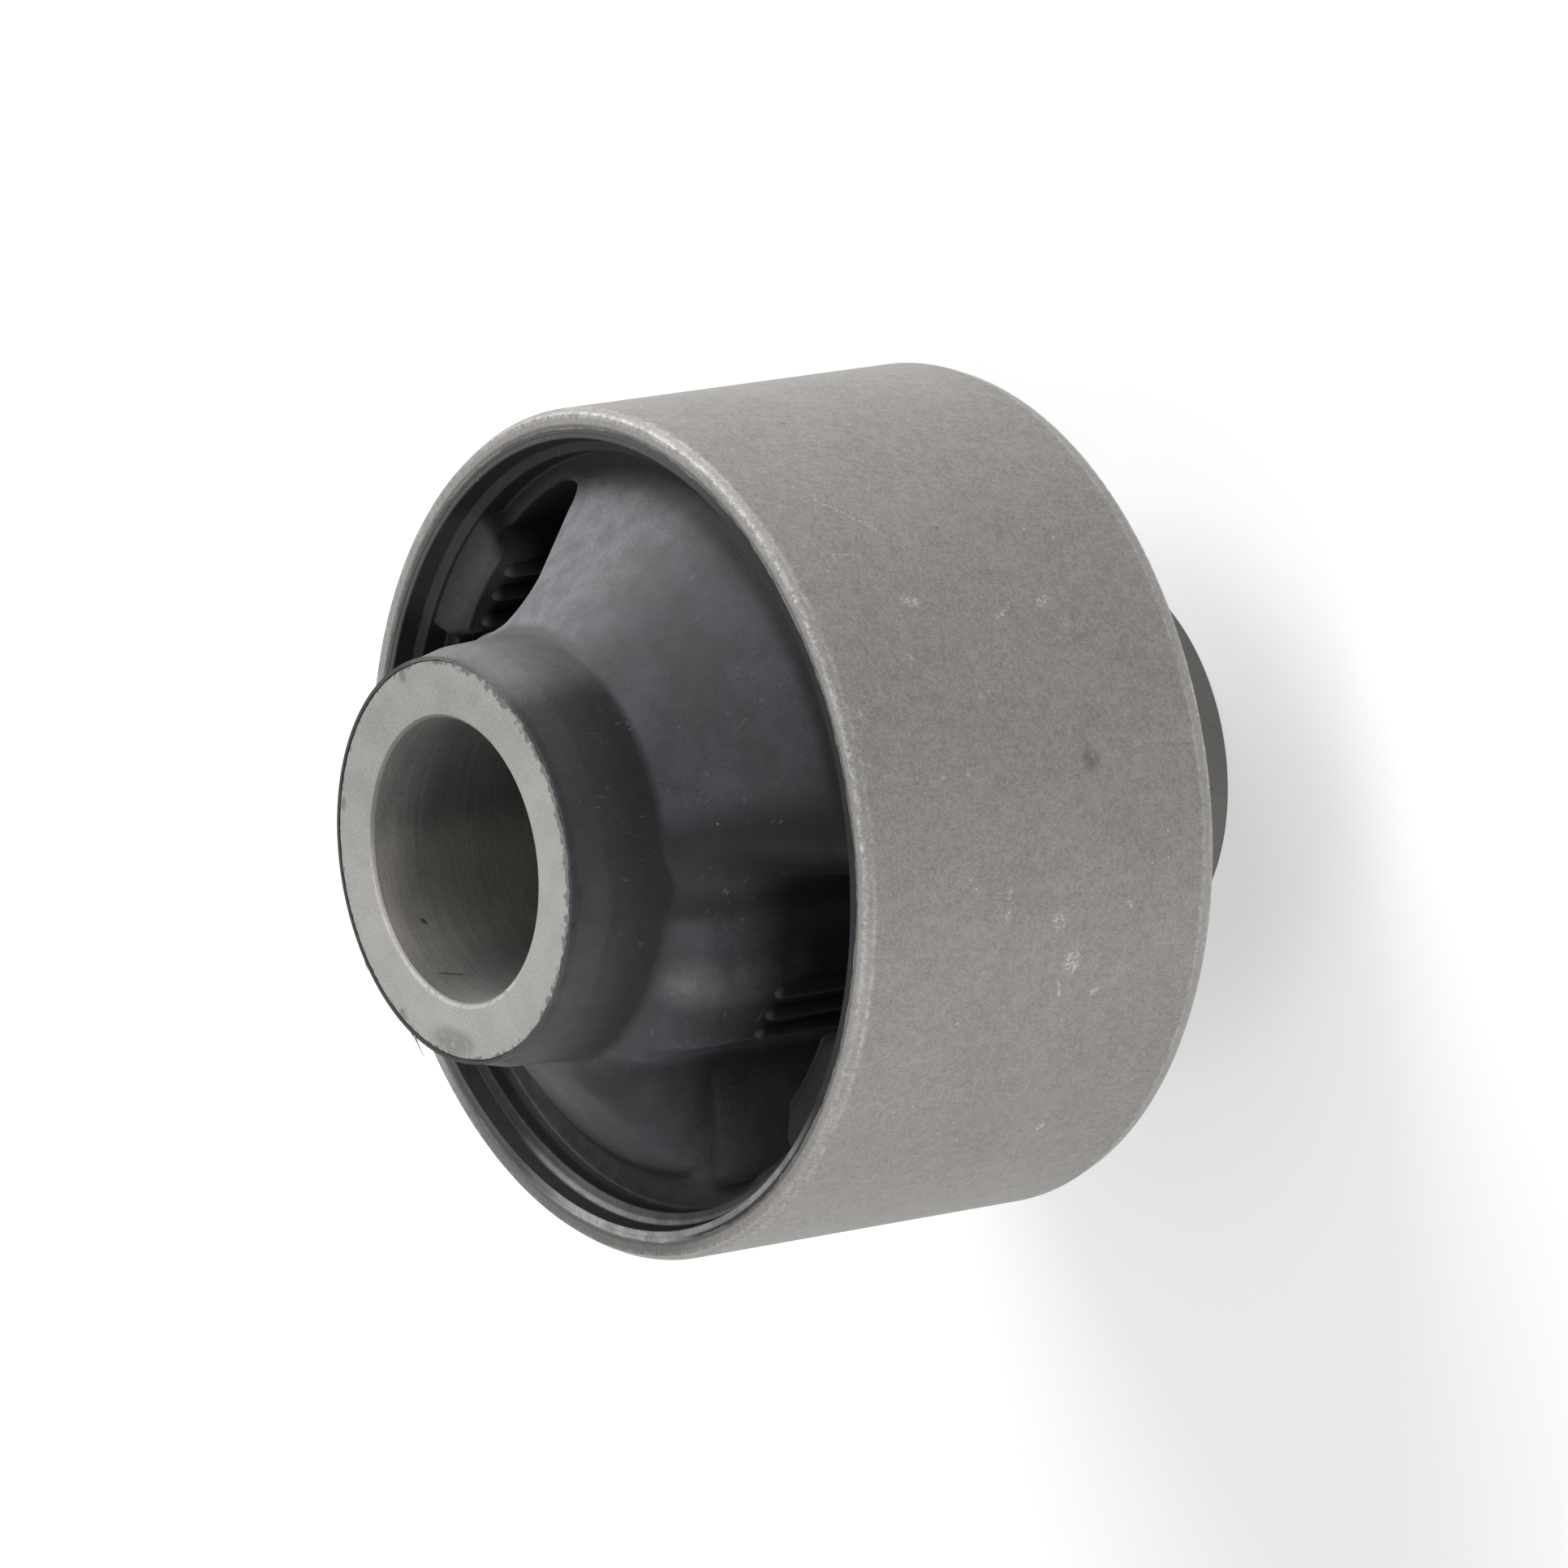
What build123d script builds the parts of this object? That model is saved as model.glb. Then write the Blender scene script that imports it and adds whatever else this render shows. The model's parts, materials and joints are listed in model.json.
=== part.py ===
from build123d import *

import os

# Rubber metal bush: two steel sleeves with one rubber moulding bonded between them.
# The axis is +Z, with the end seen in the photograph up. The origin is the middle of the
# bush. The two voids in the rubber lie along +X and -X, the two webs along +Y and -Y.
# Lengths are in millimetres and angles in degrees.

# Outer steel sleeve
outer_diameter = 60.0
outer_length = 30.0
outer_wall = 1.5
lead_depth = 0.4
upper_lead_length = 0.65
lower_lead_length = 1.1

# Inner steel sleeve
inner_diameter = 28.0
bore_diameter = 20.0
inner_length = 57.0
bore_chamfer = 0.45
rim_chamfer = 0.25

# Rubber skin over the inner sleeve
skin_end = 0.75
skin_shoulder = 1.0
skin_setback = 0.3

# Stepped mouth of the rubber lining, from the rim inwards
lip_width = 0.6
mouth_draft = 0.35
upper_ledge_depth = 1.6
upper_ledge_width = 0.75
ledge_slope = 0.25
lower_ledge_depth = 3.4
edge_break = 0.2

# Webs: the conical face climbs from the lower ledge to the shoulder at the inner sleeve
web_edge_thickness = 3.3
shoulder_height = 6.2
shoulder_round = 0.8

# Voids between the webs
lining_thickness = 3.0
void_half_angle = 35.0
void_corner_round = 2.4
valley_thickness = 2.4
void_edge_chamfer = 0.7

# Stops that face each other across each void, with ribs along the axis
bump_height = 3.9
bump_half_angle = 9.0
bump_flank = 9.0
bump_round = 2.5
block_height = 1.5
block_half_angle = 10.5
block_flank = 3.0
block_round = 1.2
block_slope = 0.8
rib_count = 3
bump_rib_pitch = 6.6
block_rib_pitch = 5.7
rib_radius = 0.6
rib_length = 24.6

# Radii and heights that follow from the driving dimensions
outer_radius = outer_diameter / 2
bond_radius = outer_radius - outer_wall
half_outer = outer_length / 2
inner_radius = inner_diameter / 2
bore_radius = bore_diameter / 2
half_inner = inner_length / 2
lip_radius = bond_radius - lip_width
upper_ledge_radius = lip_radius - mouth_draft - upper_ledge_width
upper_ledge_z = half_outer - upper_ledge_depth
lower_ledge_z = half_outer - lower_ledge_depth
web_edge_radius = bond_radius - web_edge_thickness
shoulder_radius = inner_radius + skin_shoulder
shoulder_z = half_outer + shoulder_height
skin_radius = inner_radius + skin_end
skin_end_z = half_inner - skin_setback
lining_radius = bond_radius - lining_thickness
valley_radius = inner_radius + valley_thickness
bump_radius = inner_radius + bump_height
block_radius = lining_radius - block_height
valley_angle = void_half_angle - bump_half_angle - bump_flank


def sector(inner, outer, inner_angle, outer_angle):
    """Closed outline between two arcs about the axis, symmetric about +X."""
    inner_arc = CenterArc((0, 0), inner, -inner_angle, 2 * inner_angle)
    outer_arc = CenterArc((0, 0), outer, -outer_angle, 2 * outer_angle)
    Line(inner_arc @ 0, outer_arc @ 0)
    Line(inner_arc @ 1, outer_arc @ 1)


# Outer sleeve: a tube whose outer edges are turned to a lead for pressing in
with BuildPart() as outer_sleeve:
    with BuildSketch(Plane.XZ):
        with BuildLine():
            Polyline(
                (bond_radius, -half_outer),
                (outer_radius - lead_depth, -half_outer),
                (outer_radius, -half_outer + lower_lead_length),
                (outer_radius, half_outer - upper_lead_length),
                (outer_radius - lead_depth, half_outer),
                (bond_radius, half_outer),
                close=True,
            )
        make_face()
    revolve(axis=Axis.Z)

# Inner sleeve: a thick tube with a chamfered bore and a broken outer edge
with BuildPart() as inner_sleeve:
    with BuildSketch():
        Circle(inner_radius)
        Circle(bore_radius, mode=Mode.SUBTRACT)
    extrude(amount=half_inner, both=True)
    end_circles = inner_sleeve.edges().filter_by(GeomType.CIRCLE)
    chamfer(end_circles.sort_by(SortBy.RADIUS)[:2], bore_chamfer)
    end_circles = inner_sleeve.edges().filter_by(GeomType.CIRCLE)
    chamfer(end_circles.sort_by(SortBy.RADIUS)[-2:], rim_chamfer)

# Rubber section from the mid-plane up, as radius, height and corner rounding
rubber_outline = [
    (inner_radius, 0, 0),
    (bond_radius, 0, 0),
    (bond_radius, half_outer, 0),
    (lip_radius + edge_break, half_outer, 0),
    (lip_radius, half_outer - edge_break, 0),
    (lip_radius - mouth_draft, upper_ledge_z + ledge_slope, 0),
    (upper_ledge_radius + edge_break, upper_ledge_z, 0),
    (upper_ledge_radius, upper_ledge_z - edge_break, 0),
    (upper_ledge_radius, lower_ledge_z, 0),
    (web_edge_radius, lower_ledge_z, 0),
    (shoulder_radius, shoulder_z, shoulder_round),
    (skin_radius, skin_end_z - edge_break, 0),
    (skin_radius - edge_break, skin_end_z, 0),
    (inner_radius, skin_end_z, 0),
]

# Outer stops: sectors cut from a ring whose end faces slope into the void
with BuildPart() as stop_blocks:
    with BuildSketch(Plane.XZ):
        with BuildLine():
            Polyline(
                (block_radius, -upper_ledge_z + block_slope),
                (bond_radius, -upper_ledge_z),
                (bond_radius, upper_ledge_z),
                (block_radius, upper_ledge_z - block_slope),
                close=True,
            )
        make_face()
    revolve(axis=Axis.Z)
    with BuildSketch() as block_plan:
        with BuildLine():
            sector(block_radius, bond_radius, block_half_angle, block_half_angle + block_flank)
        make_face()
        fillet(block_plan.vertices().group_by(Axis.X)[0], block_round)
        mirror(about=Plane.YZ)
    extrude(amount=half_outer, both=True, mode=Mode.INTERSECT)

# Rib, half sunk in the face of a stop
with BuildPart() as rib:
    Cylinder(rib_radius, rib_length)

# Rubber body: the turned section, less the two voids, with the outer stops and the ribs
with BuildPart() as rubber_body:
    with BuildSketch(Plane.XZ) as section:
        with BuildLine():
            FilletPolyline(
                [(radius, height) for radius, height, rounding in rubber_outline],
                radius=[rounding for radius, height, rounding in rubber_outline],
                close=True,
            )
        make_face()
        mirror(about=Plane.XZ)
    revolve(axis=Axis.Z)
    with BuildSketch(Plane.XY.offset(-half_inner)) as void_plan:
        with BuildLine():
            wall = CenterArc((0, 0), lining_radius, -void_half_angle, 2 * void_half_angle)
            low_valley = CenterArc((0, 0), valley_radius, -void_half_angle, valley_angle)
            high_valley = CenterArc((0, 0), valley_radius, void_half_angle, -valley_angle)
            nose = CenterArc((0, 0), bump_radius, -bump_half_angle, 2 * bump_half_angle)
            Line(low_valley @ 0, wall @ 0)
            Line(high_valley @ 0, wall @ 1)
            Line(low_valley @ 1, nose @ 0)
            Line(high_valley @ 1, nose @ 1)
        make_face()
        fillet(void_plan.vertices().sort_by(lambda corner: abs(corner.Y))[:4], bump_round)
        fillet(void_plan.vertices().sort_by(lambda corner: abs(corner.Y))[-4:], void_corner_round)
        mirror(about=Plane.YZ)
    extrude(amount=inner_length, mode=Mode.SUBTRACT)
    chamfer(rubber_body.edges(Select.NEW), void_edge_chamfer)
    add(stop_blocks.part)
    for side in (0, 180):
        for radius, pitch in ((bump_radius, bump_rib_pitch), (block_radius, block_rib_pitch)):
            spread = (rib_count - 1) * pitch
            with PolarLocations(radius, rib_count, side - spread / 2, spread, endpoint=True):
                add(rib.part)

outer_sleeve.part.label = "outer_sleeve"
inner_sleeve.part.label = "inner_sleeve"
rubber_body.part.label = "rubber_body"

os.makedirs("parts", exist_ok=True)
export_step(outer_sleeve.part, "parts/outer_sleeve.step")
export_step(inner_sleeve.part, "parts/inner_sleeve.step")
export_step(rubber_body.part, "parts/rubber_body.step")
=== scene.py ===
"""Looks of the rubber metal bush: finish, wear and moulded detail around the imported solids."""

import json
import math

import bpy
import numpy as np
from mathutils import Matrix, Vector


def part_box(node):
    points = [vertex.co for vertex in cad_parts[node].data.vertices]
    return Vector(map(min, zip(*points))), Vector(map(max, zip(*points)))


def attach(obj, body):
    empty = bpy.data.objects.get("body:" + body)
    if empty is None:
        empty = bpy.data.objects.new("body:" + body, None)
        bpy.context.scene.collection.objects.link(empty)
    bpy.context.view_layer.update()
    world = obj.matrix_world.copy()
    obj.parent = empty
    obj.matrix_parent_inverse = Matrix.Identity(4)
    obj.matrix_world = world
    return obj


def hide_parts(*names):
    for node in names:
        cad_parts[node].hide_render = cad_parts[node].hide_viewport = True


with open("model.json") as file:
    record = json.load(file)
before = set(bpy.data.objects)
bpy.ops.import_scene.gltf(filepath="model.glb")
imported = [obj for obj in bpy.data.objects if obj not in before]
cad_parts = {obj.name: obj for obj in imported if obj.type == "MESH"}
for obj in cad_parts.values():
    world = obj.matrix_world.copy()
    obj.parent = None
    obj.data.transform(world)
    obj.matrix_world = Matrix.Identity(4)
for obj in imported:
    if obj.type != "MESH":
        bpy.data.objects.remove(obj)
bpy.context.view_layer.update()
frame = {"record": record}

# Sizes are in millimetres and angles in degrees, in the frame's own axes
MM = 0.001
mounts = {mount["name"]: mount for mount in frame["record"]["mounts"]}
outer_radius = mounts["outer_press_diameter"]["dims"]["r_mm"]
bore_radius = mounts["inner_bore"]["dims"]["r_mm"]
half_inner = mounts["upper_sleeve_end"]["pos_m"][2] / MM
half_outer = round(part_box("outer_sleeve")[1].z / MM, 2)
inner_radius = round(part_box("inner_sleeve")[1].y / MM, 1)
bond_radius = round(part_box("rubber_body")[1].y / MM, 1)
skin_end = round(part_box("rubber_body")[1].z / MM, 2)

# Steel edges
lead_depth = 0.4
upper_lead = 0.65
lower_lead = 1.1
rim_chamfer = 0.12
bore_chamfer = 0.2
outer_segments = 512
inner_segments = 384

# Rubber mouth, from the rim inwards
lip_radius = bond_radius - 0.6
step_radius = lip_radius - 0.35
ledge_radius = lip_radius - 1.1
upper_ledge = half_outer - 1.6
lower_ledge = half_outer - 3.4
web_edge_radius = bond_radius - 3.3
shoulder_radius = inner_radius + 1.0
shoulder_height = half_outer + 6.2
skin_radius = inner_radius + 0.75
skin_tip = inner_radius + 0.2
skin_taper = 2.2
bare_steel = 2.0

# Voids, and the stops that face each other across them
lining_radius = bond_radius - 3.0
valley_radius = inner_radius + 2.4
void_half_angle = 35.0
void_corner = 2.4
bump_height = 1.5
bump_half_angle = 8.0
bump_flank = 11.0
block_height = 1.8
block_half_angle = 12.0
block_corner = 4.0
block_foot = 0.5
block_front = 0.8
rib_radius = 0.6
bump_rib_pitch = 6.4
bump_rib_end = 12.5
block_rib_pitch = 6.0
block_rib_end = 11.6
bump_radius = valley_radius + bump_height
block_radius = lining_radius - block_height

# Rounded edges of the voids. Each web turns into a void in a fold. By the void's side in x,
# its rounding is given at the inner and the outer end, and its depth as a multiple of that.
boss_round = 2.4
lining_round = 0.8
fold_start = 24.0
fold_round = {1: (4.2, 4.2), -1: (2.3, 1.2)}
fold_depth = {1: 2.2, -1: 1.1}

# Columns and rows of the moulding's mesh
stops_end = 20.0
columns_on_stops = 36
columns_to_corner = 26
columns_past_corner = 20
columns_on_web = 18
rows_on_boss = 14
rows_across_void = 15
rows_on_rim = 11
outline_points = 281
boss_clear = 0.75
rim_clear = 0.25
angle_slack = 0.001
touching = 0.002

# Flash and hairs of torn rubber. A hair runs through three points: radius, angle and height.
flash_segments = 720
flash_proud = 0.03
flash_edge = 0.1
flash_root = 0.6
hair_thickness = 0.055
hair_paths = (
    ((14.1, -76.0, 28.4), (14.7, -73.5, 28.45), (15.2, -69.5, 28.4)),
    ((14.1, -79.0, 28.4), (14.4, -76.5, 28.45), (14.6, -74.0, 28.4)),
    ((14.1, -107.0, 28.35), (14.55, -105.5, 28.4), (14.5, -102.5, 28.4)),
    ((14.1, 28.0, 28.35), (14.4, 26.5, 28.4), (14.5, 24.0, 28.4)),
)


def smooth(value, low, high):
    """Soft step from 0 at low to 1 at high."""
    share = np.clip((value - low) / (high - low), 0, 1)
    return share * share * (3 - 2 * share)


def polar(radius, angle, height=0.0):
    """Point at this radius and angle about the axis."""
    return (radius * math.cos(math.radians(angle)), radius * math.sin(math.radians(angle)), height)


def make_object(name, vertices, faces, sharp_angle=35):
    """Mesh object from points in millimetres."""
    mesh = bpy.data.meshes.new(name)
    mesh.from_pydata((np.asarray(vertices) * MM).tolist(), [], faces)
    mesh.validate()
    mesh.shade_smooth()
    mesh.set_sharp_from_angle(angle=math.radians(sharp_angle))
    piece = bpy.data.objects.new(name, mesh)
    bpy.context.scene.collection.objects.link(piece)
    return piece


def rounded(corners, steps=4):
    """Polyline (radius, height) whose corners are arcs: each corner is (radius, height, rounding)."""
    points = []
    for index, (x, y, rounding) in enumerate(corners):
        here = np.array([x, y])
        if not rounding:
            points.append(here)
            continue
        back = np.array(corners[index - 1][:2]) - here
        ahead = np.array(corners[(index + 1) % len(corners)][:2]) - here
        back = back / np.linalg.norm(back)
        ahead = ahead / np.linalg.norm(ahead)
        half = math.acos(np.clip(back @ ahead, -1, 1)) / 2
        reach = rounding / math.tan(half)
        centre = here + (back + ahead) / np.linalg.norm(back + ahead) * rounding / math.sin(half)
        first = here + back * reach - centre
        last = here + ahead * reach - centre
        for share in np.linspace(0, 1, steps + 1):
            arm = first * (1 - share) + last * share
            points.append(centre + arm / np.linalg.norm(arm) * rounding)
    return np.array(points)


def lathe(name, outline, segments):
    """Closed ring turned from a closed (radius, height) outline."""
    angles = np.radians(np.arange(segments) * 360 / segments)
    radius, height = outline[:, 0], outline[:, 1]
    x = np.outer(np.cos(angles), radius)
    y = np.outer(np.sin(angles), radius)
    z = np.broadcast_to(height, x.shape)
    count = len(outline)
    faces = []
    for i in range(segments):
        for j in range(count):
            a = i * count + j
            b = i * count + (j + 1) % count
            c = (i + 1) % segments * count + (j + 1) % count
            d = (i + 1) % segments * count + j
            faces.append((a, d, c, b))
    return make_object(name, np.stack([x, y, z], axis=-1).reshape(-1, 3), faces)


def make_outer_sleeve():
    outline = rounded([
        (bond_radius, -half_outer, 0),
        (outer_radius - lead_depth, -half_outer, 0.12),
        (outer_radius, -half_outer + lower_lead, 0.5),
        (outer_radius, half_outer - upper_lead, 0.4),
        (outer_radius - lead_depth, half_outer, 0.12),
        (bond_radius, half_outer, 0),
    ])
    return lathe("outer_sleeve_finish", outline, outer_segments)


def make_inner_sleeve():
    outline = rounded([
        (bore_radius, -half_inner + bore_chamfer, 0.08),
        (bore_radius + bore_chamfer, -half_inner, 0.08),
        (inner_radius - rim_chamfer, -half_inner, 0.04),
        (inner_radius, -half_inner + rim_chamfer, 0.04),
        (inner_radius, half_inner - rim_chamfer, 0.04),
        (inner_radius - rim_chamfer, half_inner, 0.04),
        (bore_radius + bore_chamfer, half_inner, 0.08),
        (bore_radius, half_inner - bore_chamfer, 0.08),
    ])
    return lathe("inner_sleeve_finish", outline, inner_segments)


def from_void(angle):
    """Angle from the middle of the nearer void: 0 in its middle, 90 in the middle of a web."""
    return np.abs((np.asarray(angle) + 90) % 180 - 90)


def with_corner(radius, turn, centre, way):
    """A void's boundary with its rounded corner. Way is -1 for the inner boundary, 1 for the outer."""
    start = void_half_angle - math.degrees(math.asin(void_corner / centre))
    swing = np.radians(np.clip(turn, start, void_half_angle) - start)
    reach = np.sqrt(np.maximum(void_corner**2 - (centre * np.sin(swing))**2, 0))
    return np.where(turn > start, centre * np.cos(swing) + way * reach, radius)


def void_inner(turn):
    """Radius of the void's inner boundary."""
    turn = np.asarray(turn, float)
    bump = 1 - smooth(turn, bump_half_angle, bump_half_angle + bump_flank)
    return with_corner(valley_radius + bump_height * bump, turn, valley_radius + void_corner, -1)


def void_outer(turn):
    """Radius of the void's outer boundary."""
    turn = np.asarray(turn, float)
    block = 1 - smooth(turn, block_half_angle - block_corner, block_half_angle + block_foot)
    return with_corner(lining_radius - block_height * block, turn, lining_radius - void_corner, 1)


def void_outline(side_round, side_depth):
    """Segments of one void's boundary. Each has the rounding of the mouth, and its depth, at both ends."""
    turns = np.linspace(-void_half_angle, void_half_angle, outline_points)
    turns = void_half_angle * np.sign(turns) * (1 - (1 - np.abs(turns) / void_half_angle) ** 2)
    corner = smooth(np.abs(turns), fold_start, void_half_angle)
    depth = 1 + corner * (side_depth - 1)
    inner_round, outer_round = side_round
    runs = [
        (void_inner(np.abs(turns)), turns, boss_round + corner * (inner_round - boss_round), depth),
        (void_outer(np.abs(turns)), turns, lining_round + corner * (outer_round - lining_round), depth),
    ]
    for turn in (-void_half_angle, void_half_angle):
        ends = np.array([void_inner(void_half_angle), void_outer(void_half_angle)])
        runs.append((ends, np.full(2, turn), np.array(side_round), np.full(2, side_depth)))
    for radius, angle, rounding, deep in runs:
        places = radius[:, None] * np.stack([np.cos(np.radians(angle)), np.sin(np.radians(angle))], axis=1)
        shape = np.stack([rounding, deep], axis=1)
        yield from zip(places[:-1], places[1:], shape[:-1], shape[1:])


def edge_drop(near, side):
    """Depth by which each place of a face sinks beside the edge of the void on this side."""
    distance = np.full(near.shape[:2], np.inf)
    shape = np.empty(near.shape)
    for first, second, first_shape, second_shape in void_outline(fold_round[side], fold_depth[side]):
        along = second - first
        share = np.clip(((near - first) @ along) / (along @ along), 0, 1)[..., None]
        gap = np.linalg.norm(near - first - share * along, axis=-1)
        closer = gap < distance
        distance = np.where(closer, gap, distance)
        shape = np.where(closer[..., None], first_shape + share * (second_shape - first_shape), shape)
    distance = np.where(distance < touching, 0, distance)
    rounding, depth = shape[..., 0], shape[..., 1]
    short = np.clip(rounding - distance, 0, rounding)
    return depth * (rounding - np.sqrt(rounding**2 - short**2))


def moulding_columns():
    """Angles of the moulding's columns, which are closest together at the corners of the voids."""
    spread = math.degrees(max(max(pair) for pair in fold_round.values()) / valley_radius)
    quarter = np.concatenate([
        np.linspace(0, stops_end, columns_on_stops)[:-1],
        void_half_angle - (void_half_angle - stops_end) * np.linspace(1, 0, columns_to_corner)[:-1] ** 2,
        void_half_angle + spread * np.linspace(0, 1, columns_past_corner)[:-1] ** 2,
        np.linspace(void_half_angle + spread, 90, columns_on_web),
    ])
    half = np.concatenate([-quarter[:0:-1], quarter])
    angles = np.unique(np.round(np.concatenate([half, half + 180]), 3))
    return angles[:-1]


def moulding_face(angles):
    """Radius and height of the upper face's points, and the two rows between which the voids lie."""
    profile = rounded([
        (inner_radius, skin_end, 0),
        (skin_tip, skin_end, 0),
        (skin_radius, skin_end - skin_taper, 1.6),
        (shoulder_radius, shoulder_height, 0.9),
        (web_edge_radius, lower_ledge, 1.5),
        (ledge_radius, lower_ledge, 0.2),
        (ledge_radius, upper_ledge, 0.2),
        (step_radius, upper_ledge + 0.25, 0.15),
        (lip_radius, half_outer, 0.12),
        (bond_radius, half_outer, 0),
    ])
    split = int(np.argmax(profile[:, 0] > shoulder_radius + boss_clear))
    merge = int(np.argmax(profile[:, 0] > ledge_radius - rim_clear))
    boss_fixed = profile[:split]
    rim_fixed = profile[merge:]
    boss_edge = boss_fixed[-1, 0]
    rim_edge = rim_fixed[0, 0]

    turn = from_void(angles)
    edge_in = void_inner(np.minimum(turn, void_half_angle))
    edge_out = void_outer(np.minimum(turn, void_half_angle))
    to_void = 1 - (1 - np.linspace(0, 1, rows_on_boss + 1)[1:]) ** 2
    over_void = np.linspace(0, 1, rows_across_void + 1)[1:]
    past_void = np.linspace(0, 1, rows_on_rim + 2)[1:-1] ** 2
    radius = np.concatenate([
        np.broadcast_to(boss_fixed[:, 0], (len(angles), len(boss_fixed))),
        boss_edge + np.outer(edge_in - boss_edge, to_void),
        edge_in[:, None] + np.outer(edge_out - edge_in, over_void),
        edge_out[:, None] + np.outer(rim_edge - edge_out, past_void),
        np.broadcast_to(rim_fixed[:, 0], (len(angles), len(rim_fixed))),
    ], axis=1)
    first_open = len(boss_fixed) + rows_on_boss - 1
    last_open = first_open + rows_across_void

    free = slice(len(boss_fixed), radius.shape[1] - len(rim_fixed))
    height = np.empty_like(radius)
    height[:, :free.start] = boss_fixed[:, 1]
    height[:, free.stop:] = rim_fixed[:, 1]
    height[:, free] = np.interp(radius[:, free], *profile[split - 1:merge + 1].T)

    # Front faces of the outer stops rise over the lower ledge
    slope = block_front / (bond_radius - lining_radius + block_height)
    front = upper_ledge - block_front + slope * (radius - lining_radius + block_height)
    on_block = 1 - smooth(turn[:, None], block_half_angle - 1.2, block_half_angle + 1.2)
    on_block = on_block * (radius >= block_radius - 0.01) * (radius < ledge_radius + 0.02)
    height = height + on_block * np.maximum(front - height, 0)

    # Rounded edges where the face meets the voids
    turned = np.radians((angles + 90) % 180 - 90)[:, None]
    near = np.stack([radius * np.cos(turned), radius * np.sin(turned)], axis=-1)
    for side in fold_round:
        drop = edge_drop(near, side) * (1 - smooth(radius, lining_radius - 1.5, rim_edge))
        drop[np.cos(np.radians(angles)) * side < -1e-6] = 0
        height = height - drop
    return radius, height, first_open, last_open


def make_rubber():
    """Moulding as one closed skin: both mouths, the bonded walls and the walls of the two voids."""
    angles = moulding_columns()
    radius, height, first_open, last_open = moulding_face(angles)
    count, rows = radius.shape
    x = radius * np.cos(np.radians(angles))[:, None]
    y = radius * np.sin(np.radians(angles))[:, None]
    upper = np.stack([x, y, height], axis=-1).reshape(-1, 3)
    lower = upper * (1, 1, -1)
    lower[:, 2] += bare_steel * (upper[:, 2] > skin_end - skin_taper - 1)
    offset = len(upper)
    is_open = from_void(angles) < void_half_angle - angle_slack
    faces = []

    def spot(i, j, end=0):
        return end * offset + (i % count) * rows + j

    for i in range(count):
        at_void = is_open[i] or is_open[(i + 1) % count]
        for j in range(rows - 1):
            if at_void and first_open <= j < last_open:
                continue
            quad = (spot(i, j), spot(i + 1, j), spot(i + 1, j + 1), spot(i, j + 1))
            faces.append(quad[::-1])
            faces.append(tuple(index + offset for index in quad))
        for j, order in ((rows - 1, -1), (0, 1)):
            bonded = (spot(i, j), spot(i + 1, j), spot(i + 1, j, 1), spot(i, j, 1))
            faces.append(bonded[::order])

    # Walls of the voids, as strips that follow the open edge at both ends
    def wall(path, flip):
        for first, second in zip(path[:-1], path[1:]):
            quad = (first, second, second + offset, first + offset)
            faces.append(quad[::-1] if flip else quad)

    for middle in (0, 180):
        away = (angles - middle + 180) % 360 - 180
        inside = [i for i in range(count) if abs(away[i]) <= void_half_angle + angle_slack]
        inside.sort(key=lambda i: away[i])
        wall([spot(i, first_open) for i in inside], True)
        wall([spot(i, last_open) for i in inside], False)
        wall([spot(inside[0], j) for j in range(first_open, last_open + 1)], False)
        wall([spot(inside[-1], j) for j in range(first_open, last_open + 1)], True)
    return make_object("rubber_moulding", np.concatenate([upper, lower]), faces, sharp_angle=60)


def make_ribs():
    """Round-ended ribs along the axis, half sunk in the faces of the stops."""
    around, cap = 16, 5
    lifts = np.radians(np.linspace(90, 0, cap + 1)[1:])
    vertices, faces = [], []
    for seat, pitch, end in (
        (bump_radius, bump_rib_pitch, bump_rib_end),
        (block_radius, block_rib_pitch, block_rib_end),
    ):
        upper = np.stack([rib_radius * np.cos(lifts), end - rib_radius + rib_radius * np.sin(lifts)], axis=1)
        rings = np.concatenate([upper, upper[::-1] * (1, -1)])
        for turn in (-pitch, 0, pitch, 180 - pitch, 180, 180 + pitch):
            centre = np.array(polar(seat, turn))
            base = len(vertices)
            vertices.append(centre + (0, 0, end))
            for ring_radius, ring_height in rings:
                for k in range(around):
                    a = 2 * math.pi * k / around
                    spoke = (ring_radius * math.cos(a), ring_radius * math.sin(a), ring_height)
                    vertices.append(centre + spoke)
            vertices.append(centre - (0, 0, end))
            for k in range(around):
                k2 = (k + 1) % around
                faces.append((base, base + 1 + k, base + 1 + k2))
                for ring in range(len(rings) - 1):
                    a = base + 1 + ring * around
                    faces.append((a + k, a + around + k, a + around + k2, a + k2))
                a = base + 1 + (len(rings) - 1) * around
                faces.append((a + k, len(vertices) - 1, a + k2))
    return make_object("stop_ribs", vertices, faces, sharp_angle=60)


def make_flash(name, seat, reach, height, ends):
    """Thin torn ring of rubber, a little proud, from a sunk edge at radius seat to a ragged one at reach."""
    count = len(reach)
    angles = np.radians(np.arange(count) * 360 / count)
    vertices, faces = [], []
    for index, end in enumerate(ends):
        for radius, level in (
            (np.full(count, seat), height - flash_root),
            (np.full(count, seat), height + flash_proud),
            (reach, height + flash_proud),
            (reach, height - flash_edge),
        ):
            levels = np.full(count, end * level)
            vertices.append(np.stack([radius * np.cos(angles), radius * np.sin(angles), levels], axis=-1))
        flip = (end > 0) != (reach[0] > seat)
        for k in range(count):
            k2 = (k + 1) % count
            for row in range(3):
                a = (index * 4 + row) * count
                quad = (a + k, a + k2, a + count + k2, a + count + k)
                faces.append(quad[::-1] if flip else quad)
    return make_object(name, np.concatenate(vertices), faces, sharp_angle=40)


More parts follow.
